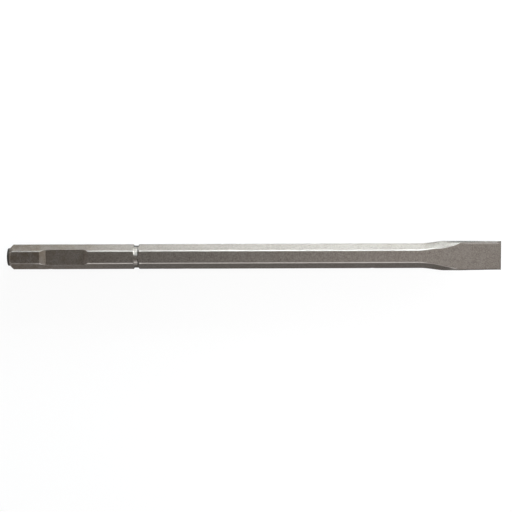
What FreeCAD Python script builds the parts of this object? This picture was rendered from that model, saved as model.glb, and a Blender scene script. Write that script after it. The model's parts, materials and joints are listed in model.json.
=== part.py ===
import FreeCAD, Part
import math
import os

# Hexagon bar. The axis is x, from the striking face at x = 0 to the cutting edge.
# One flat of the hexagon faces up (+z) and the opposite flat is the one it lies on.
overall_length = 424.0
hex_across_flats = 19.05
hex_corner_radius = 1.8

# Striking end: a short turned pilot, then a cone out to the hexagon's corners.
pilot_diameter = 15.2
pilot_length = 1.6
pilot_edge_radius = 0.5
cone_angle = 46.0  # degrees between the cone's side and the axis

# Latch recess, milled right across the upper flat, with a ramp at each end.
recess_start = 28.0
recess_length = 41.4
recess_depth = 2.1
recess_first_ramp = 5.2
recess_last_ramp = 3.8

# Ring groove, turned through the corners only, so its floor just clears the flats.
groove_centre = 110.4
groove_top_width = 4.9
groove_floor_width = 3.2
groove_depth = 1.15

# Forged blade, from the hexagon's last full section to the cutting edge.
blade_length = 71.0
blade_width = 25.4
blade_tip_width = 24.8
blade_thickness_at_bevel = 4.4
blade_edge_break = 0.9
blade_side_bulge = 0.25

# Along the blade: where its sides flare out, and where its faces reach full width.
flare_start = 2.0
flare_length = 21.0
face_spread_length = 35.0
face_spread_steady_share = 0.66
face_spread_power = 4
side_growth_power = 1.5
spread_sections = 9

# Ground bevels at the cutting edge.
bevel_length = 4.2
edge_thickness = 0.5

# Room that a cutting shape has past the steel it cuts.
tool_room = 5.0

# A hexagon's flats slope at 60 degrees to each other, and 30 degrees is half of that.
flat_slope = math.radians(60.0)
half_slope = math.radians(30.0)
hex_apothem = hex_across_flats / 2
hex_half_face = hex_apothem * math.tan(half_slope)
sharp_reach = hex_apothem / math.cos(half_slope)
corner_reach = sharp_reach - hex_corner_radius * (1 / math.cos(half_slope) - 1)
corner_tangent = hex_corner_radius * math.tan(half_slope)

taper_start = overall_length - blade_length
spread_end = taper_start + face_spread_length
bevel_start = overall_length - bevel_length


def smooth_step(share):
    """Runs from 0 to 1 with level ends, for a share of the way from 0 to 1."""
    held = min(max(share, 0.0), 1.0)
    return held * held * (3.0 - 2.0 * held)


def mix(first, last, share):
    return first + (last - first) * share


def half_thickness(x):
    """The blade's faces are flat wedges from the hexagon to the bevel."""
    share = (x - taper_start) / (bevel_start - taper_start)
    return mix(hex_apothem, blade_thickness_at_bevel / 2, share)


def half_width(x):
    """The sides flare out from the hexagon's corners, then draw in a little to the tip."""
    flared = smooth_step((x - taper_start - flare_start) / flare_length)
    past_spread = max(x - spread_end, 0.0) / (overall_length - spread_end)
    blade_half = mix(blade_width, blade_tip_width, past_spread) / 2
    return mix(corner_reach, blade_half, flared)


def edge_break_at(x):
    """The broken edge beside each face, kept under half of what is left of the wedge."""
    return min(blade_edge_break, half_thickness(x) / 2)


def section_values(x):
    """Front corner, corner radius, end of the slanted flat and middle of the side."""
    along = min(max((x - taper_start) / face_spread_length, 0.0), 1.0)
    steady = face_spread_steady_share * along
    late = (1.0 - face_spread_steady_share) * along ** face_spread_power
    thick = half_thickness(x)
    wide = half_width(x)
    broken = edge_break_at(x)

    face_half = mix(hex_half_face, wide - blade_side_bulge - broken / 2, steady + late)
    radius = mix(hex_corner_radius, broken, along)
    hex_side_height = corner_tangent * math.sin(flat_slope)
    hex_side_bulge = corner_reach - sharp_reach + corner_tangent * math.cos(flat_slope)
    side_height = mix(hex_side_height, thick - broken, along ** side_growth_power)
    side_bulge = mix(hex_side_bulge, blade_side_bulge, along)
    return face_half, thick, radius, wide - side_bulge, side_height, wide


def corner_arc(corner, before, after, radius):
    """Points where an arc in a corner starts, passes its middle and ends."""
    to_before = (before - corner).normalize()
    to_after = (after - corner).normalize()
    half_angle = to_before.getAngle(to_after) / 2
    tangent = radius / math.tan(half_angle)
    inward = (to_before + to_after).normalize()
    middle = corner + inward * (radius / math.sin(half_angle) - radius)
    return corner + to_before * tangent, middle, corner + to_after * tangent


def section_wire(x):
    """The closed outline at x: two faces, four rounded corners, four slants, two sides."""
    face_half, thick, radius, side_y, side_height, wide = section_values(x)
    face_middle = FreeCAD.Vector(x, 0, thick)
    corner = FreeCAD.Vector(x, face_half, thick)
    side_end = FreeCAD.Vector(x, side_y, side_height)
    start, middle, end = corner_arc(corner, face_middle, side_end, radius)

    def mirrored(point, y_sign, z_sign):
        return FreeCAD.Vector(x, point.y * y_sign, point.z * z_sign)

    edges = []
    for y_sign in (1, -1):
        # The outline goes down the +y side and comes back up the -y side.
        inbound = [mirrored(point, y_sign, y_sign) for point in (start, middle, end, side_end)]
        outbound = [mirrored(point, y_sign, -y_sign) for point in (side_end, end, middle, start)]
        edges.append(Part.LineSegment(mirrored(start, -y_sign, y_sign), inbound[0]))
        edges.append(Part.Arc(inbound[0], inbound[1], inbound[2]))
        edges.append(Part.LineSegment(inbound[2], inbound[3]))
        edges.append(Part.Arc(inbound[3], FreeCAD.Vector(x, wide * y_sign, 0), outbound[0]))
        edges.append(Part.LineSegment(outbound[0], outbound[1]))
        edges.append(Part.Arc(outbound[1], outbound[2], outbound[3]))
    return Part.Wire([edge.toShape() for edge in edges])


def turned(outline):
    """The round body that an outline sweeps about the bar's axis."""
    return Part.Face(outline).revolve(FreeCAD.Vector(0, 0, 0), FreeCAD.Vector(1, 0, 0), 360)


def milled(corners, half_span):
    """The prism that a closed outline of (x, z) corners sweeps across the bar."""
    points = [FreeCAD.Vector(x, -half_span, z) for x, z in corners]
    outline = Part.makePolygon(points + points[:1])
    return Part.Face(outline).extrude(FreeCAD.Vector(0, 2 * half_span, 0))


def hexagon_bar():
    """Straight bar with rounded corners, from the striking face to the taper."""
    section = Part.Face(section_wire(taper_start))
    return section.extrude(FreeCAD.Vector(-taper_start, 0, 0))


def turned_end_envelope():
    """Round body that holds the pilot, the cone and the rest of the bar."""
    pilot_radius = pilot_diameter / 2
    outer_radius = corner_reach + tool_room
    cone_length = (outer_radius - pilot_radius) / math.tan(math.radians(cone_angle))
    cone_end = pilot_length + cone_length
    rounding = min(pilot_edge_radius, pilot_length)
    rounded = rounding * math.sqrt(0.5)
    arc = Part.Arc(
        FreeCAD.Vector(0, 0, pilot_radius - rounding),
        FreeCAD.Vector(rounding - rounded, 0, pilot_radius - rounding + rounded),
        FreeCAD.Vector(rounding, 0, pilot_radius))
    corners = [
        FreeCAD.Vector(rounding, 0, pilot_radius),
        FreeCAD.Vector(pilot_length, 0, pilot_radius),
        FreeCAD.Vector(cone_end, 0, outer_radius),
        FreeCAD.Vector(taper_start, 0, outer_radius),
        FreeCAD.Vector(taper_start, 0, 0),
        FreeCAD.Vector(0, 0, 0),
        FreeCAD.Vector(0, 0, pilot_radius - rounding),
    ]
    return turned(Part.Wire([arc.toShape()] + Part.makePolygon(corners).Edges))


def ring_groove():
    """Ring that the groove takes out of the hexagon's corners."""
    floor_radius = corner_reach - groove_depth
    top_radius = corner_reach + tool_room
    floor_half = groove_floor_width / 2
    wall_run = (groove_top_width / 2 - floor_half) / groove_depth
    top_half = floor_half + wall_run * (top_radius - floor_radius)
    return turned(Part.makePolygon([
        FreeCAD.Vector(groove_centre - floor_half, 0, floor_radius),
        FreeCAD.Vector(groove_centre + floor_half, 0, floor_radius),
        FreeCAD.Vector(groove_centre + top_half, 0, top_radius),
        FreeCAD.Vector(groove_centre - top_half, 0, top_radius),
        FreeCAD.Vector(groove_centre - floor_half, 0, floor_radius),
    ]))


def latch_recess():
    """Steel milled out of the upper flat, with its ramps carried on above the flat."""
    floor = hex_apothem - recess_depth
    top = hex_apothem + tool_room
    recess_end = recess_start + recess_length
    first_run = recess_first_ramp * tool_room / recess_depth
    last_run = recess_last_ramp * tool_room / recess_depth
    return milled([
        (recess_start - first_run, top),
        (recess_start + recess_first_ramp, floor),
        (recess_end - recess_last_ramp, floor),
        (recess_end + last_run, top),
    ], corner_reach + tool_room)


def forged_blade():
    """The hexagon is drawn out flat and wide, then runs on as a straight wedge."""
    step = face_spread_length / (spread_sections - 1)
    spread = [section_wire(taper_start + step * index) for index in range(spread_sections)]
    wedge = [spread[-1], section_wire(overall_length)]
    return Part.makeLoft(spread, True, False).fuse(Part.makeLoft(wedge, True, True))


def bevel_waste(z_sign):
    """Steel ground away on one side of the cutting edge."""
    slope = (blade_thickness_at_bevel - edge_thickness) / 2 / bevel_length
    start_z = blade_thickness_at_bevel / 2 + slope * tool_room
    end_z = edge_thickness / 2 - slope * tool_room
    return milled([
        (bevel_start - tool_room, z_sign * start_z),
        (overall_length + tool_room, z_sign * end_z),
        (overall_length + tool_room, z_sign * start_z),
    ], blade_width / 2 + tool_room)


def chisel():
    shank = hexagon_bar().common(turned_end_envelope())
    shank = shank.cut([ring_groove(), latch_recess()])
    blade = forged_blade().cut([bevel_waste(1), bevel_waste(-1)])
    return shank.fuse(blade).removeSplitter()


os.makedirs("parts", exist_ok=True)
steel = chisel()
steel.exportStep("parts/chisel.step")
print("chisel: solids", len(steel.Solids), "valid", steel.isValid(), "volume", round(steel.Volume))
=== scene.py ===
import json
import math
import random

import bpy
import numpy as np
from mathutils import Matrix, Vector, noise


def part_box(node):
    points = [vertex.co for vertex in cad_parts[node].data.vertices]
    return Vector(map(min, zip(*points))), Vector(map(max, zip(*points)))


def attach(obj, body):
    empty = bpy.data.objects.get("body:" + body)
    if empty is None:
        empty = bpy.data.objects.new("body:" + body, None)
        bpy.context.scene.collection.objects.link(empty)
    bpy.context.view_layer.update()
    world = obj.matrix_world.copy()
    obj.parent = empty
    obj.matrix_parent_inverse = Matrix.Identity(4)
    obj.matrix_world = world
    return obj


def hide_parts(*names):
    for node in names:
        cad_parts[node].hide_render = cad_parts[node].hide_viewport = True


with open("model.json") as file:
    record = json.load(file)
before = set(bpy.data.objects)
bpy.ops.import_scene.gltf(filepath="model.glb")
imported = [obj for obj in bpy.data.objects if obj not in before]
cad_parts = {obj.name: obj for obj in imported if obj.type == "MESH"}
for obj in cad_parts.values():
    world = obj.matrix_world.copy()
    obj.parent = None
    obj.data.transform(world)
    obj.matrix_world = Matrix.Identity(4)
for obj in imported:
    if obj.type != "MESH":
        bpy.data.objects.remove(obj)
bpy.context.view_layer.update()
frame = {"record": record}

# Everything is in metres, in the frame of the solid: x from the striking face to the
# cutting edge, z out of the flat that holds the latch recess. The camera looks down on
# that flat, with the bar's back (+y) at the top of the picture and its front (-y) below.
MM = 0.001
low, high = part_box("chisel")
mounts = {mount["name"]: mount["pos_m"] for mount in frame["record"]["mounts"]}

# Hexagon bar and its turned end
length = high.x
apothem = high.z
corner_radius = 1.8 * MM
pilot_radius = 7.6 * MM
pilot_length = 1.6 * MM
pilot_rounding = 0.5 * MM
cone_angle = math.radians(46.0)

# Latch recess: its floor and middle come from its mount
recess_middle = mounts["latch_recess"][0]
recess_floor = mounts["latch_recess"][2]
recess_floor_half = 16.2 * MM
recess_first_ramp = 5.2 * MM
recess_last_ramp = 3.8 * MM
recess_corner_radius = 0.25 * MM
floor_start = recess_middle - recess_floor_half
floor_end = recess_middle + recess_floor_half
recess_start = floor_start - recess_first_ramp
recess_end = floor_end + recess_last_ramp

# Ring groove through the corners
groove_centre = mounts["retaining_groove"][0]
groove_top_half = 2.45 * MM
groove_floor_half = 1.6 * MM
groove_depth = 1.15 * MM
groove_start = groove_centre - groove_top_half
groove_end = groove_centre + groove_top_half
groove_floor_end = groove_centre + groove_floor_half

# Forged blade
blade_half = high.y
blade_tip_half = 12.4 * MM
taper_start = length - 71.0 * MM
bevel_start = length - 4.2 * MM
bevel_half_thickness = 2.2 * MM
edge_half_thickness = 0.25 * MM
edge_break = 0.9 * MM
side_bulge = 0.25 * MM
flare_start = 2.0 * MM
flare_length = 21.0 * MM
spread_length = 35.0 * MM
spread_steady_share = 0.66
spread_power = 4
side_growth_power = 1.5
run_out = taper_start + spread_length

# The hammer left the blade's faces a little narrow at the back and a little full at the
# front. The draw comes and goes over these shares of the spread.
back_draw = -1.2 * MM
front_draw = 0.35 * MM
draw_start = 0.3
draw_full = 0.65
draw_eases = 0.8
draw_end = 1.15

# Ground bevel: its faces reach nearly to the sides, its corners are nearly sharp, and its
# sides stay under this share of its thickness
ground_reach = 0.9
ground_corner_radius = edge_half_thickness / 3
side_height_share = 0.8

# Hexagon values that follow from its flats and its rounded corners
half_slope = math.radians(30.0)
hex_half_face = apothem * math.tan(half_slope)
sharp_reach = apothem / math.cos(half_slope)
corner_reach = sharp_reach - corner_radius * (1 / math.cos(half_slope) - 1)
corner_tangent = corner_radius * math.tan(half_slope)

# Mesh density: steps along the bar, and points along each quarter of a section
plain_step = 0.9 * MM
fine_step = 0.22 * MM
crease_half = 0.07 * MM
face_steps = 8
corner_steps = 6
slant_steps = 8
side_steps = 4
crowding = 1.8  # draws the points of a flat towards the rounded corner beside it
turned_share = 0.999  # a point that the lathe brings in to less than this share is turned

# Rolling and forging waves, pressed into the steel
roll_depth = 0.05 * MM
roll_wavelength = 30.0 * MM
forge_depth = 0.10 * MM
forge_wavelength = 9.0 * MM

# Nicks in the corners. They are drawn by chance: their places from this range of the
# bar's length, and their sizes and depths from these shares of the full ones.
nick_seed = 7
nick_count = 26
nick_depth = 0.22 * MM
nick_size = 1.3 * MM
nick_places = (0.02, 0.83)
nick_sizes = (0.5, 1.2)
nick_depths = (0.3, 1.0)
nick_stretch = 1.6
hex_corners = 6

# Corners bright with wear and with a painted highlight, and a painted glint before the
# ramp: what each stretch of the bar adds at the back and at the front, and how this comes and goes
rub_and_sheen_everywhere = (0.20, 0.27)
rub_and_sheen_striking_end = (0.09, -0.06)
glint_before_ramp = (0.15, 0.15)
rub_and_sheen_recess = (0.0, 0.20)
rub_and_sheen_holder = (0.18, 0.31)
rub_and_sheen_past_groove = (0.05, 0.21)
rub_and_sheen_blade = (0.20, 0.0)
before_ramp_lead = 2.2 * MM
before_ramp_reach = 2.0 * MM
holder_corner_lead = 1.4 * MM
holder_corner_rise = 1.5 * MM
blade_fade_half = 3.0 * MM
blade_back_corner_kept = 0.5
blade_front_corner_lost = 0.6
blade_front_loss_length = 10.0 * MM

# Painted highlight spots on the corners just past the groove
lip_glint_back = 0.12
lip_glint_front = 0.35
lip_spot_lead = 1.3 * MM
lip_spot_reach = 0.9 * MM

# Painted highlight on the back slant; the turned cone; and wear with painted highlight at the
# points that the slants run out to
slant_highlight_level = 0.035
slant_highlight_rise = 10.0 * MM
slant_highlight_fall = 8.0 * MM
spread_highlight_level = 0.06
spread_highlight_start = 0.6
spread_highlight_rise = 1 / 3
cone_rub = 0.05
tip_corner_level = 0.5
tip_slant_level = 0.3
tip_lead = 5.5 * MM
tip_reach = 3.5 * MM

# Light line along the blade's back edge
edge_light_line_level = 0.22
edge_line_lead = 2.0 * MM
edge_line_rise = 10.0 * MM
edge_line_inset = 1.7 * MM
edge_line_reach = 0.5 * MM

# Groove: painted highlight, from beside the flat to near the corner
groove_highlight_back = (0.85, 0.10)
groove_highlight_front = (0.10, 0.30)
groove_highlight_start = 1.2 * MM
groove_highlight_length = 4.0 * MM
groove_flat_half_back = 1.4 * MM
groove_flat_half_front = 2.4 * MM
groove_flat_fade = 0.8 * MM
groove_outer = 6.8 * MM
groove_outermost = 8.3 * MM
groove_margin = 0.3 * MM

# Painted shade in the groove and on its far lip
far_wall_shade = 1.0
groove_outer_shade = 0.4
groove_end_shade = (0.5, 1.0)
groove_end_rise = 3.2 * MM
lip_shade = 0.8
lip_shade_lead = 0.2 * MM
lip_shade_half = 0.35 * MM
lip_corner_least = 0.2

# Darker along the blade's sides and on the pilot, and painted shade on the slants and the cutting
# edge
side_dark_back = 0.8
side_dark_back_tip = 0.62
side_dark_front = 0.3
side_dark_full = 0.9 * MM
side_dark_reach = 1.6 * MM
side_dark_thins = (4.0 * MM, 28.0 * MM)
back_slant_shade = 0.3
back_slant_rise = 13.0 * MM
back_slant_fall = (15.0 * MM, 8.0 * MM)
front_slant_shade = 0.27
front_slant_rise = 40.0 * MM
pilot_dark = 1.0
struck_face_loss = 0.5
cutting_edge_shade = 0.6
cutting_edge_reach = 0.5 * MM

# Colours of the steel, the floor and the surround
plain_steel = (0.128, 0.109, 0.098, 1.0)
clouded_steel = (0.150, 0.132, 0.121, 1.0)
mottle_colour = (0.094, 0.077, 0.067, 1.0)
speckle_colour = (0.190, 0.170, 0.150, 1.0)
grain_colour = (0.068, 0.056, 0.047, 1.0)
stain_colour = (0.098, 0.075, 0.054, 1.0)
# Bright colour of the worn corners and of the painted highlights
worn_and_sheen_colour = (0.80, 0.76, 0.72, 1.0)
# Dark colour of the pilot and the blade's sides, and of the painted shade in the groove, on the
# slants and at the cutting edge
dark_and_shade_colour = (0.022, 0.020, 0.018, 1.0)
floor_colour = (0.93, 0.93, 0.93, 1.0)
white = (1.0, 1.0, 1.0, 1.0)

# Noise in the steel: features per metre, detail and roughness, then the part of its
# values that is used and how far it covers what lies below
cloud_noise = (60.0, 4.0, 0.6)
cloud_values = (0.35, 0.65)
mottle_noise = (420.0, 3.0, 0.6)
speckle_noise = (1100.0, 1.0, 0.5)
grain_noise = (2600.0, 2.0, 0.6)
fine_values = (0.3, 0.7)
mottle_cover = 0.7
speckle_cover = 0.9
grain_cover = 0.3

# Brown stains, strongest at the striking end
stain_noise = (130.0, 6.0, 0.8)
stain_values = (0.38, 0.62)
stain_places = (20.0 * MM, 100.0 * MM)
stain_cover = 0.9

# Surface: the wear and painted highlight is broken up by the mottle and polishes the steel a
# little
worn_and_sheen_values = (0.25, 0.6)
worn_and_sheen_least = 0.6
worn_and_sheen_polish = 0.2
steel_roughness = (0.53, 0.63)
steel_specular = 0.1
bump_strength = 0.25
bump_distance = 0.05 * MM
bump_mottle = 0.8

# Floor: it glows a little less than white near the bar, and clears to white between
# these two distances from the bar's middle
floor_half = 20.0
floor_roughness = 0.9
floor_glow = 0.88
clear_near = 0.35
clear_far = 0.80

# Light: a dim surround, and the powers and tints of the softboxes
surround_strength = 0.2
back_power = 15.0
near_back_power = 5.2
shank_back_power = 1.4
blade_back_power = 7.0
blade_top_power = 1.0
wide_top_power = 0.8
striking_end_power = 1.3
front_power = 6.0
cool_tint = (0.92, 1.0, 1.03)
cooler_tint = (0.80, 1.0, 1.10)
plain_tint = (1.0, 1.0, 1.0)


def mix(first, last, share):
    return first + (last - first) * share


def smooth_step(share):
    """Runs from 0 to 1 with level ends, for a share of the way from 0 to 1."""
    held = np.clip(share, 0.0, 1.0)
    return held * held * (3.0 - 2.0 * held)


def fade(value, start, end):
    """Runs smoothly from 0 at the start to 1 at the end, which may lie below the start."""
    return smooth_step((value - start) / (end - start))


def hump(value, middle, reach):
    """Is 1 at the middle and dies away softly on both sides."""
    return np.exp(-((value - middle) / reach) ** 2)


def stations():
    """Places of the sections along x: even on the bar, close together at each feature."""
    cone_end = pilot_length + (corner_reach - pilot_radius) / math.tan(cone_angle)
    creases = [
        pilot_length,
        recess_start,
        floor_start,
        floor_end,
        recess_end,
        groove_start,
        groove_centre - groove_floor_half,
        groove_floor_end,
        groove_end,
        taper_start,
        run_out,
        bevel_start,
    ]
    fine_spans = [
        (0.0, cone_end + fine_step),
        (recess_start, floor_start),
        (floor_end, recess_end),
        (groove_start, groove_end),
        (bevel_start, length),
    ]
    places = [np.linspace(0.0, length, round(length / plain_step) + 1)]
    for start, end in fine_spans:
        places.append(np.linspace(start, end, max(2, round((end - start) / fine_step))))
    for crease in creases:
        places.append(np.array([crease - crease_half, crease + crease_half]))
    ordered = np.unique(np.concatenate(places))
    kept = [ordered[0]]
    for place in ordered[1:]:
        if place - kept[-1] > crease_half:
            kept.append(place)
    kept[-1] = length
    return np.array(kept)


def top_recess(x):
    """Height of the upper flat's surface: the flat, the ramps and the recess's floor."""
    depth = apothem - recess_floor
    from_middle = x - recess_middle
    on_first = (-from_middle - recess_floor_half) / recess_first_ramp
    on_last = (from_middle - recess_floor_half) / recess_last_ramp
    rise = np.clip(np.maximum(on_first, on_last), 0.0, 1.0)
    return recess_floor + depth * rise


def section_values(x, on_top, draw):
    """Front corner, corner radius, end of the slant and middle of the side, at each x."""
    share = (x - taper_start) / spread_length
    along = np.clip(share, 0.0, 1.0)
    spread = spread_steady_share * along + (1.0 - spread_steady_share) * along ** spread_power
    wedge = mix(apothem, bevel_half_thickness,
                np.maximum(x - taper_start, 0.0) / (bevel_start - taper_start))
    flared = smooth_step((x - taper_start - flare_start) / flare_length)
    blade = mix(blade_half, blade_tip_half, np.maximum(x - run_out, 0.0) / (length - run_out))
    wide = mix(corner_reach, blade, flared)

    broken = np.minimum(edge_break, wedge / 2)
    drawn = draw * fade(share, draw_start, draw_full) * fade(share, draw_end, draw_eases)
    face_half = mix(hex_half_face, wide - side_bulge - broken / 2, spread) + drawn
    radius = mix(corner_radius, broken, along)
    hex_side_bulge = corner_reach - sharp_reach + corner_tangent * math.cos(2 * half_slope)
    side_height = mix(corner_tangent * math.sin(2 * half_slope), wedge - broken,
                      along ** side_growth_power)
    side_y = wide - mix(hex_side_bulge, side_bulge, along)

    bevel = mix(bevel_half_thickness, edge_half_thickness,
                np.maximum(x - bevel_start, 0.0) / (length - bevel_start))
    thick = np.where(x > bevel_start, bevel, wedge)
    ground_off = np.clip((wedge - thick) / broken, 0.0, 1.0)
    face_half = mix(face_half, side_y, ground_reach * ground_off)
    radius = mix(radius, ground_corner_radius, ground_off)
    side_height = np.minimum(side_height, side_height_share * thick)

    if on_top:
        cut = apothem - top_recess(x)
        thick = thick - cut
        face_half = face_half + cut * math.tan(half_slope)
        corner_drop = corner_radius - corner_tangent * math.sin(half_slope)
        radius = mix(radius, recess_corner_radius, np.clip(cut / corner_drop, 0.0, 1.0))
    return face_half, thick, radius, side_y, side_height, wide


def quarter(x, on_top, draw):
    """Points from the middle of a face to the middle of a side, for every x at once."""
    face_half, thick, radius, side_y, side_height, wide = section_values(x, on_top, draw)
    to_side = np.stack([side_y - face_half, side_height - thick], 1)
    to_side /= np.linalg.norm(to_side, axis=1, keepdims=True)
    to_face = np.array([-1.0, 0.0])
    half_angle = np.arccos(np.clip(to_side @ to_face, -1.0, 1.0)) / 2
    tangent = (radius / np.tan(half_angle))[:, None]
    corner = np.stack([face_half, thick], 1)
    inward = to_side + to_face
    inward /= np.linalg.norm(inward, axis=1, keepdims=True)
    centre = corner + inward * (radius / np.sin(half_angle))[:, None]
    arc_start = corner + to_face * tangent
    arc_end = corner + to_side * tangent
    side_end = np.stack([side_y, side_height], 1)
    face_middle = np.stack([0.0 * thick, thick], 1)

    points = []
    for step in range(face_steps):
        share = 1.0 - (1.0 - step / face_steps) ** crowding
        points.append(mix(face_middle, arc_start, share))
    turn = math.pi - 2 * half_angle
    for step in range(corner_steps):
        share = step / corner_steps
        before = (np.sin((1 - share) * turn) / np.sin(turn))[:, None]
        after = (np.sin(share * turn) / np.sin(turn))[:, None]
        points.append(centre + (arc_start - centre) * before + (arc_end - centre) * after)
    for step in range(slant_steps):
        points.append(mix(arc_end, side_end, (step / slant_steps) ** crowding))
    bulge = wide - side_y
    side_radius = (side_height ** 2 + bulge ** 2) / (2 * bulge)
    side_turn = np.arcsin(np.clip(side_height / side_radius, -1.0, 1.0))
    for step in range(side_steps + 1):
        angle = side_turn * (1 - step / side_steps)
        points.append(np.stack([wide - side_radius * (1 - np.cos(angle)),
                                side_radius * np.sin(angle)], 1))
    return np.stack(points, 1)


def turned_radius(x):
    """Radius that the lathe leaves: the pilot, the cone, and the groove in the corners."""
    in_rounding = np.clip(pilot_rounding - x, 0.0, pilot_rounding)
    pilot = pilot_radius - pilot_rounding + np.sqrt(pilot_rounding ** 2 - in_rounding ** 2)
    cone = np.maximum(x - pilot_length, 0.0) * math.tan(cone_angle)
    wall = (np.abs(x - groove_centre) - groove_floor_half) / (groove_top_half - groove_floor_half)
    groove = corner_reach - groove_depth + groove_depth * np.maximum(wall, 0.0)
    return np.minimum(pilot + cone, groove)


def half_section(x, draw):
    """Points from the middle of the upper face round one side to that of the lower face."""
    top = quarter(x, True, draw)
    bottom = quarter(x, False, draw) * np.array([1.0, -1.0])
    return np.concatenate([top, bottom[:, -2::-1]], 1)


def rings():
    """Sections round the whole bar as (station, point, xyz), and which points are turned."""
    x = stations()
    back = half_section(x, back_draw)
    front = half_section(x, front_draw)[:, -2:0:-1] * np.array([-1.0, 1.0])
    section = np.concatenate([back, front], 1)
    reach = np.linalg.norm(section, axis=2)
    held = np.minimum(1.0, turned_radius(x)[:, None] / reach)
    section = section * held[:, :, None]
    along = np.broadcast_to(x[:, None, None], section.shape[:2] + (1,))
    return np.concatenate([along, section], 2), held < turned_share


def grid_normals(points):
    """Outward normals of the ring grid, from its neighbours on both sides."""
    along = np.empty_like(points)
    along[1:-1] = points[2:] - points[:-2]
    along[0] = points[1] - points[0]
    along[-1] = points[-1] - points[-2]
    around = np.roll(points, -1, 1) - np.roll(points, 1, 1)
    normals = np.cross(along, around)
    lengths = np.linalg.norm(normals, axis=2, keepdims=True)
    return normals / np.maximum(lengths, np.finfo(float).tiny)


def waves(flat, wavelength):
    """Smooth noise from about 0 to 1 at each point."""
    return np.array([0.5 + 0.5 * noise.noise(Vector(point) / wavelength) for point in flat])


def press_marks(points):
    """Depth of rolling, forging and handling marks at each point, in metres."""
    flat = points.reshape(-1, 3)
    on_blade = fade(flat[:, 0], taper_start, run_out)
    before_edge = fade(flat[:, 0], length, bevel_start)
    depth = waves(flat, roll_wavelength) * roll_depth
    depth += waves(flat, forge_wavelength) * forge_depth * on_blade * before_edge

    chance = random.Random(nick_seed)
    for _ in range(nick_count):
        corner_angle = math.tau / hex_corners * chance.randrange(hex_corners)
        place = chance.uniform(*nick_places) * length
        size = nick_size * chance.uniform(*nick_sizes)
        deep = nick_depth * chance.uniform(*nick_depths)
        centre = np.array([place, corner_reach * math.cos(corner_angle),
                           corner_reach * math.sin(corner_angle)])
        away = (flat - centre) / np.array([size * nick_stretch, size, size])
        depth += deep * np.exp(-(away ** 2).sum(1))
    return depth.reshape(points.shape[:2])


def whole_ring(*stretches):
    """Marks of a quarter, stretch by stretch, carried round the other three quarters."""
    first = np.concatenate(stretches)
    half = np.concatenate([first, first[-2::-1]])
    return np.concatenate([half, half[-2:0:-1]])


class Skin:
    """Every point of the bar's surface, with what its wear, its darker marks and its painted light
    and shade depend on.
    """

    def __init__(self, points, turned):
        self.x, self.y, self.z = np.moveaxis(points, 2, 0)
        self.mark_ring()
        self.back = (self.y > 0.0) * self.upper
        self.front = (self.y < 0.0) * self.upper
        self.aside = np.abs(self.y)
        self.from_side = self.y.max(1, keepdims=True) - self.aside
        self.forged = fade(self.x, taper_start, run_out)
        self.before_blade = fade(self.x, run_out + blade_fade_half, run_out - blade_fade_half)
        self.past_pilot = self.x > pilot_length
        self.on_cone = turned & self.past_pilot & (self.x < recess_start)
        self.in_groove = turned & (self.x > groove_start)
        self.far_wall = self.x > groove_floor_end - groove_margin

    def mark_ring(self):
        """The rounded corner, the slant, the way out over the slant, and the upper half."""
        face = np.zeros(face_steps)
        arc = np.arange(corner_steps) / corner_steps
        slant = np.arange(slant_steps) / slant_steps
        side = np.ones(side_steps + 1)
        half_step = 0.5 / corner_steps
        rounded = np.sin(math.pi * (arc + half_step)) ** 2
        second_half = np.maximum(0.0, 2.0 * arc - 1.0)
        self.corner = whole_ring(face, rounded, 0 * slant, 0 * side)
        self.slant = whole_ring(face, second_half, np.ones(slant_steps), side)
        self.outward = whole_ring(face, 0 * arc, slant ** crowding, side)
        in_quarter = face_steps + corner_steps + slant_steps + side_steps + 1
        self.upper = np.zeros(len(self.corner))
        self.upper[:in_quarter] = 1.0
        self.upper[1 - in_quarter:] = 1.0


def corner_rub_and_sheen(skin):
    """How bright the corners are, partly with wear and partly with painted highlight, with what
    each stretch of the bar adds.
    """
    x = skin.x
    holder_corner_start = recess_end - holder_corner_lead
    in_holder = fade(x, holder_corner_start, holder_corner_start + holder_corner_rise) * (x < groove_centre)
    stretches = [
        (1.0, rub_and_sheen_everywhere),
        (x < recess_start, rub_and_sheen_striking_end),
        (hump(x, recess_start - before_ramp_lead, before_ramp_reach), glint_before_ramp),
        ((x > recess_start) & (x < recess_end), rub_and_sheen_recess),
        (in_holder, rub_and_sheen_holder),
        (x > groove_centre, rub_and_sheen_past_groove),
        (skin.forged, rub_and_sheen_blade),
    ]
    return sum(np.where(skin.y > 0.0, *levels) * share for share, levels in stretches)


def corner_wear_and_sheen(skin):
    """The corners, bright partly with wear and partly with painted highlight, which dull on the
    blade, and a painted highlight spot past the groove.
    """
    kept = mix(blade_back_corner_kept * skin.back, 1.0, skin.before_blade)
    dulled = fade(skin.x, taper_start, taper_start + blade_front_loss_length)
    kept = kept * (1.0 - blade_front_corner_lost * (skin.y < 0.0) * dulled)
    spot = hump(skin.x, groove_end + lip_spot_lead, lip_spot_reach)
    spot = spot * mix(lip_glint_front, lip_glint_back, skin.back)
    return skin.corner * (corner_rub_and_sheen(skin) * kept * skin.past_pilot + spot)


def slant_highlight(skin):
    """Painted highlight on the back slant, brighter towards its side, from the recess to the
    taper.
    """
    rise = fade(skin.x, recess_end, recess_end + slant_highlight_rise)
    fall = fade(skin.x, taper_start + slant_highlight_fall, taper_start)
    return slant_highlight_level * skin.outward * skin.back * rise * fall


def spread_highlight(skin):
    """Painted highlight on the back slant where it narrows to a point beside the blade."""
    start = taper_start + spread_highlight_start * spread_length
    rise = fade(skin.x, start, start + spread_highlight_rise * spread_length)
    return spread_highlight_level * skin.slant * skin.back * rise * skin.before_blade


def cone_wear(skin):
    """The turned cone behind the pilot."""
    return cone_rub * skin.on_cone


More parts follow.
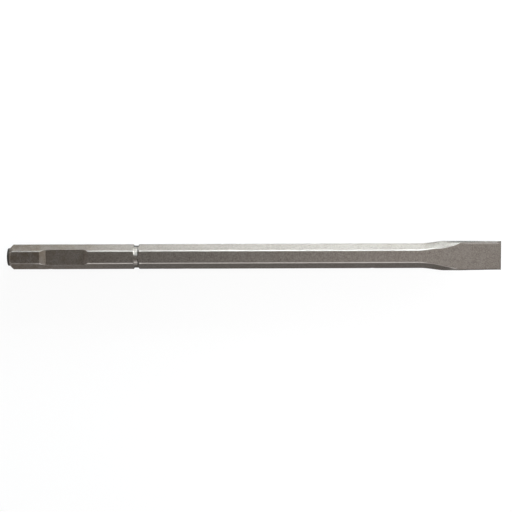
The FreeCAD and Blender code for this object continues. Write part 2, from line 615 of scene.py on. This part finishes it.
def tip_wear_and_sheen(skin):
    """Wear and painted highlight at the points that the slants run out to, beside the blade."""
    inner_slant = skin.slant * (1.0 - skin.outward) * skin.front
    bright = np.maximum(tip_corner_level * skin.corner, tip_slant_level * inner_slant)
    return bright * hump(skin.x, run_out - tip_lead, tip_reach)


def edge_light_line(skin):
    """A light line along the blade's back edge."""
    start = run_out - edge_line_lead
    on_blade = fade(skin.x, start, start + edge_line_rise)
    return edge_light_line_level * on_blade * skin.back * hump(skin.from_side, edge_line_inset, edge_line_reach)


def groove_highlight(skin):
    """Painted highlight on the groove's floor and near wall, beside the upper flat."""
    highlit = skin.in_groove & ~skin.far_wall & (skin.aside <= groove_outer)
    toward_corner = fade(skin.aside, groove_highlight_start, groove_highlight_start + groove_highlight_length)
    flat_half = np.where(skin.y > 0.0, groove_flat_half_back, groove_flat_half_front)
    off_flat = fade(skin.aside, flat_half, flat_half + groove_flat_fade)
    bright = mix(*groove_highlight_back, toward_corner) * skin.back
    bright = bright + mix(*groove_highlight_front, toward_corner) * skin.front
    return bright * off_flat * highlit


def groove_shade(skin):
    """Painted shade on the groove's far wall, its ends at the bar's sides, and its far lip."""
    outer = groove_outer_shade * (skin.aside > groove_outer)
    inside = skin.in_groove * np.maximum(far_wall_shade * skin.far_wall, outer)
    on_lip = np.abs(skin.x - groove_end - lip_shade_lead) < lip_shade_half
    lip = lip_shade * on_lip * (skin.corner > lip_corner_least) * skin.upper
    across = np.abs(skin.x - groove_centre) < groove_top_half - groove_margin
    off_middle = smooth_step(np.abs(skin.z) / groove_end_rise)
    ends = mix(*groove_end_shade, off_middle) * (across & (skin.aside > groove_outermost))
    return np.maximum.reduce([inside, lip, ends])


def side_darkening(skin):
    """Darker along the blade's sides: most at the back, and less towards the cutting edge."""
    near_side = fade(skin.from_side, side_dark_reach, side_dark_full)
    thins_start, thins_end = side_dark_thins
    to_edge = fade(skin.x, run_out + thins_start, run_out + thins_end)
    back = mix(side_dark_back, side_dark_back_tip, to_edge)
    return near_side * skin.forged * np.where(skin.y > 0.0, back, side_dark_front)


def slant_shade(skin):
    """Painted shade on the slants: at the back over the spread, at the front past the recess."""
    fall_starts, fall_ends = back_slant_fall
    over_spread = fade(skin.x, taper_start, taper_start + back_slant_rise)
    over_spread = over_spread * fade(skin.x, run_out - fall_ends, run_out - fall_starts)
    past_recess = fade(skin.x, recess_end, recess_end + front_slant_rise)
    back = back_slant_shade * skin.back * over_spread
    front = front_slant_shade * skin.front * past_recess
    return skin.slant * (back + front)


def end_darkening(skin):
    """The dark pilot with its paler struck face, and painted shade on the cutting edge."""
    pilot = pilot_dark * (skin.x < pilot_length) - struck_face_loss * (skin.x < crease_half)
    return pilot + cutting_edge_shade * (skin.x > length - cutting_edge_reach)


def surface_marks(points, turned):
    """How bright the steel is with wear and painted highlight, and how dark with painted shade and
    its darker marks, at each point.
    """
    skin = Skin(points, turned)
    wear_and_sheen_marks = (corner_wear_and_sheen, slant_highlight, spread_highlight, cone_wear, tip_wear_and_sheen, edge_light_line, groove_highlight)
    dark_and_shade_marks = (side_darkening, slant_shade, groove_shade, end_darkening)
    wear = np.maximum.reduce([mark(skin) for mark in wear_and_sheen_marks])
    scale = np.maximum.reduce([mark(skin) for mark in dark_and_shade_marks])
    return wear, scale


def end_faces(ring, flip):
    """A ladder of quads across one end of the bar, from the side to both faces' middles."""
    around = len(ring)
    side_middle = around // 4
    faces = []
    for step in range(around // 2):
        right = (side_middle + step) % around
        left = (side_middle - step) % around
        quad = [ring[left], ring[(left - 1) % around], ring[(right + 1) % around], ring[right]]
        quad = list(dict.fromkeys(int(corner) for corner in quad))
        if len(quad) > 2:
            faces.append(tuple(reversed(quad)) if flip else tuple(quad))
    return faces


def steel_mesh():
    """The whole bar as one closed mesh of rings, with flat ends."""
    points, turned = rings()
    moved = points - grid_normals(points) * press_marks(points)[:, :, None]
    moved[0, :, 0] = 0.0
    moved[-1, :, 0] = length

    count, around = points.shape[:2]
    index = np.arange(count * around).reshape(count, around)
    here = index[:-1]
    ahead = index[1:]
    walls = np.stack([here, ahead, np.roll(ahead, -1, 1), np.roll(here, -1, 1)], 2)
    faces = [tuple(face) for face in walls.reshape(-1, 4).tolist()]
    wall_count = len(faces)
    faces += end_faces(index[0], True) + end_faces(index[-1], False)

    mesh = bpy.data.meshes.new("chisel_steel")
    mesh.from_pydata(moved.reshape(-1, 3).tolist(), [], faces)
    mesh.validate()
    mesh.shade_smooth()
    for polygon in mesh.polygons[wall_count:]:
        polygon.use_smooth = False

    # The wear marks also carry painted highlights, and the scale marks carry painted shade as well
    # as the darker pilot and blade sides
    wear, scale = surface_marks(points, turned)
    for name, values in (("wear", wear), ("scale", scale)):
        attribute = mesh.attributes.new(name, "FLOAT", "POINT")
        attribute.data.foreach_set("value", values.astype(np.float32).ravel())
    return mesh


class Nodes:
    """Short calls for a material's nodes and links."""

    def __init__(self, name):
        self.material = bpy.data.materials.new(name)
        self.material.use_nodes = True
        self.tree = self.material.node_tree
        self.shader = self.tree.nodes["Principled BSDF"]

    def feed(self, socket, value):
        """Links what comes from another node, and sets a plain value."""
        if isinstance(value, bpy.types.NodeSocket):
            self.tree.links.new(value, socket)
        else:
            socket.default_value = value

    def add(self, kind, inputs=(), **settings):
        node = self.tree.nodes.new(kind)
        for key, value in settings.items():
            setattr(node, key, value)
        for key, value in dict(inputs).items():
            self.feed(node.inputs[key], value)
        return node

    def object_place(self):
        return self.add("ShaderNodeTexCoord").outputs["Object"]

    def noise(self, where, scale, detail, roughness):
        node = self.add("ShaderNodeTexNoise", {
            "Vector": where, "Scale": scale, "Detail": detail, "Roughness": roughness})
        return node.outputs["Fac"]

    def span(self, value, source, target):
        """Takes the values between the source's two ends to those of the target."""
        node = self.add("ShaderNodeMapRange", {
            "Value": value, "From Min": source[0], "From Max": source[1],
            "To Min": target[0], "To Max": target[1]})
        return node.outputs["Result"]

    def math(self, operation, first, second):
        return self.add("ShaderNodeMath", {0: first, 1: second}, operation=operation).outputs[0]

    def blend(self, share, first, second):
        node = self.add("ShaderNodeMix", {0: share, 6: first, 7: second}, data_type="RGBA")
        return node.outputs[2]

    def attribute(self, name):
        return self.add("ShaderNodeAttribute", attribute_name=name).outputs["Fac"]

    def shade(self, name, value):
        self.feed(self.shader.inputs[name], value)


def blasted_tone(steel, where, mottle, grain):
    """Colour of the plain steel: tan and grey clouds, mottle, speckle, grain and stains."""
    clouds = steel.noise(where, *cloud_noise)
    speckle = steel.noise(where, *speckle_noise)
    tone = steel.blend(steel.span(clouds, cloud_values, (0.0, 1.0)), plain_steel, clouded_steel)
    for layer, cover, colour in (
            (mottle, mottle_cover, mottle_colour),
            (speckle, speckle_cover, speckle_colour),
            (grain, grain_cover, grain_colour)):
        tone = steel.blend(steel.span(layer, fine_values, (0.0, cover)), tone, colour)

    from_end = steel.add("ShaderNodeSeparateXYZ", {0: where}).outputs["X"]
    blotches = steel.span(steel.noise(where, *stain_noise), stain_values, (0.0, 1.0))
    near_end = steel.span(from_end, stain_places, (stain_cover, 0.0))
    return steel.blend(steel.math("MULTIPLY", near_end, blotches), tone, stain_colour)


def steel_material():
    """Blasted tool steel with stains, bright with wear and painted highlights, and dark with
    painted shade and on the pilot and the blade's sides.
    """
    steel = Nodes("forged_steel")
    where = steel.object_place()
    mottle = steel.noise(where, *mottle_noise)
    grain = steel.noise(where, *grain_noise)
    # The scale attribute holds painted shade as well as the darker pilot and blade sides; the wear
    # attribute holds painted highlights as well as wear
    scale = steel.attribute("scale")
    worn_and_sheen = steel.math("MULTIPLY", steel.attribute("wear"),
                      steel.span(mottle, worn_and_sheen_values, (worn_and_sheen_least, 1.0)))

    tone = blasted_tone(steel, where, mottle, grain)
    tone = steel.blend(worn_and_sheen, tone, worn_and_sheen_colour)
    steel.shade("Base Color", steel.blend(scale, tone, dark_and_shade_colour))
    steel.shade("Metallic", steel.math("SUBTRACT", 1.0, scale))
    steel.shade("Specular IOR Level", steel_specular)
    rough = steel.span(mottle, fine_values, steel_roughness)
    polished = steel.math("MULTIPLY", worn_and_sheen, worn_and_sheen_polish)
    steel.shade("Roughness", steel.math("SUBTRACT", rough, polished))

    height = steel.math("ADD", grain, steel.math("MULTIPLY", mottle, bump_mottle))
    bump = steel.add("ShaderNodeBump", {
        "Strength": bump_strength, "Distance": bump_distance, "Height": height})
    steel.shade("Normal", bump.outputs["Normal"])
    return steel.material


def make_chisel():
    """The one piece, which stands for the whole solid."""
    mesh = steel_mesh()
    mesh.materials.append(steel_material())
    piece = bpy.data.objects.new("chisel_steel", mesh)
    bpy.context.scene.collection.objects.link(piece)
    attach(piece, "root")
    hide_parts("chisel")


def floor_material():
    """Pale, and white to the camera and in reflections, with a faint shadow near the bar."""
    pale = Nodes("pale_floor")
    pale.shade("Base Color", floor_colour)
    pale.shade("Roughness", floor_roughness)
    pale.shade("Specular IOR Level", 0.0)
    rays = pale.add("ShaderNodeLightPath").outputs
    seen = pale.math("MAXIMUM", rays["Is Camera Ray"], rays["Is Glossy Ray"])
    seen = pale.math("MAXIMUM", seen, rays["Is Transmission Ray"])
    bar_middle = (length / 2, 0.0, low.z)
    away = pale.add("ShaderNodeVectorMath", {0: pale.object_place(), 1: bar_middle},
                    operation="DISTANCE")
    glow = pale.span(away.outputs["Value"], (clear_near, clear_far), (floor_glow, 1.0))
    glowing = pale.add("ShaderNodeEmission", {"Color": white, "Strength": 1.0})
    mixed = pale.add("ShaderNodeMixShader", {
        0: pale.math("MULTIPLY", seen, glow),
        1: pale.shader.outputs["BSDF"],
        2: glowing.outputs["Emission"]})
    pale.feed(pale.tree.nodes["Material Output"].inputs["Surface"], mixed.outputs["Shader"])
    return pale.material


def make_floor():
    """Plain floor that the chisel lies on."""
    mesh = bpy.data.meshes.new("floor")
    corners = [(-floor_half, -floor_half, low.z), (floor_half, -floor_half, low.z),
               (floor_half, floor_half, low.z), (-floor_half, floor_half, low.z)]
    mesh.from_pydata(corners, [], [(0, 1, 2, 3)])
    mesh.materials.append(floor_material())
    floor = bpy.data.objects.new("floor", mesh)
    bpy.context.scene.collection.objects.link(floor)


def soft_lamp(name, place, aim, size, power, tint):
    """Plain rectangular softbox that faces its aim."""
    data = bpy.data.lights.new(name, "AREA")
    data.color = tint
    data.shape = "RECTANGLE"
    data.size, data.size_y = size
    data.energy = power
    lamp = bpy.data.objects.new(name, data)
    lamp.location = place
    lamp.rotation_euler = (Vector(aim) - Vector(place)).to_track_quat("-Z", "Y").to_euler()
    bpy.context.scene.collection.objects.link(lamp)


def make_world():
    """Dim, even studio surround."""
    world = bpy.data.worlds.new("studio")
    world.use_nodes = True
    background = world.node_tree.nodes["Background"]
    background.inputs["Strength"].default_value = surround_strength
    background.inputs["Color"].default_value = white
    bpy.context.scene.world = world


def make_lights():
    """Three softboxes behind the bar, one in front, one past each end and two above."""
    blade = (0.38, 0.0, 0.0)
    soft_lamp("back", place=(0.60, 0.90, 0.10), aim=blade, size=(1.0, 0.18),
              power=back_power, tint=cool_tint)
    soft_lamp("near_back", place=(0.42, 0.50, 0.09), aim=blade, size=(0.5, 0.16),
              power=near_back_power, tint=cooler_tint)
    soft_lamp("shank_back", place=(0.18, 0.35, 0.08), aim=(0.18, 0.0, 0.0), size=(0.3, 0.12),
              power=shank_back_power, tint=cool_tint)
    soft_lamp("front", place=(0.25, -1.0, 0.8), aim=(0.21, 0.0, 0.0), size=(1.0, 0.5),
              power=front_power, tint=plain_tint)
    soft_lamp("blade_back", place=(0.90, 0.35, 0.12), aim=blade, size=(0.5, 0.2),
              power=blade_back_power, tint=plain_tint)
    soft_lamp("blade_top", place=(0.45, 0.0, 0.50), aim=blade, size=(0.3, 0.3),
              power=blade_top_power, tint=plain_tint)
    soft_lamp("wide_top", place=(0.50, 0.05, 0.60), aim=blade, size=(0.7, 0.5),
              power=wide_top_power, tint=plain_tint)
    soft_lamp("striking_end", place=(-0.6, 0.0, 0.3), aim=(0.05, 0.0, 0.0), size=(0.5, 0.45),
              power=striking_end_power, tint=plain_tint)


def make_camera():
    """Looks down on the upper flat, tipped a little towards the back of the bar."""
    photo_width = 512
    lens = 90.0
    sensor = 36.0
    pixels_per_metre = 1161.8
    pitch = math.radians(4.0)
    roll = math.radians(-0.19)
    aim = Vector((213.1 * MM, 0.13 * MM, 0.0))
    distance = lens / sensor * photo_width / pixels_per_metre

    data = bpy.data.cameras.new("camera")
    data.lens = lens
    data.sensor_width = sensor
    camera = bpy.data.objects.new("camera", data)
    turn = Matrix.Rotation(-pitch, 4, "X") @ Matrix.Rotation(roll, 4, "Z")
    camera.matrix_world = Matrix.Translation(aim) @ turn @ Matrix.Translation((0, 0, distance))
    bpy.context.scene.collection.objects.link(camera)
    bpy.context.scene.camera = camera


bpy.context.scene.view_settings.view_transform = "Standard"
make_camera()
make_chisel()
make_floor()
make_lights()
make_world()

bpy.context.view_layer.update()
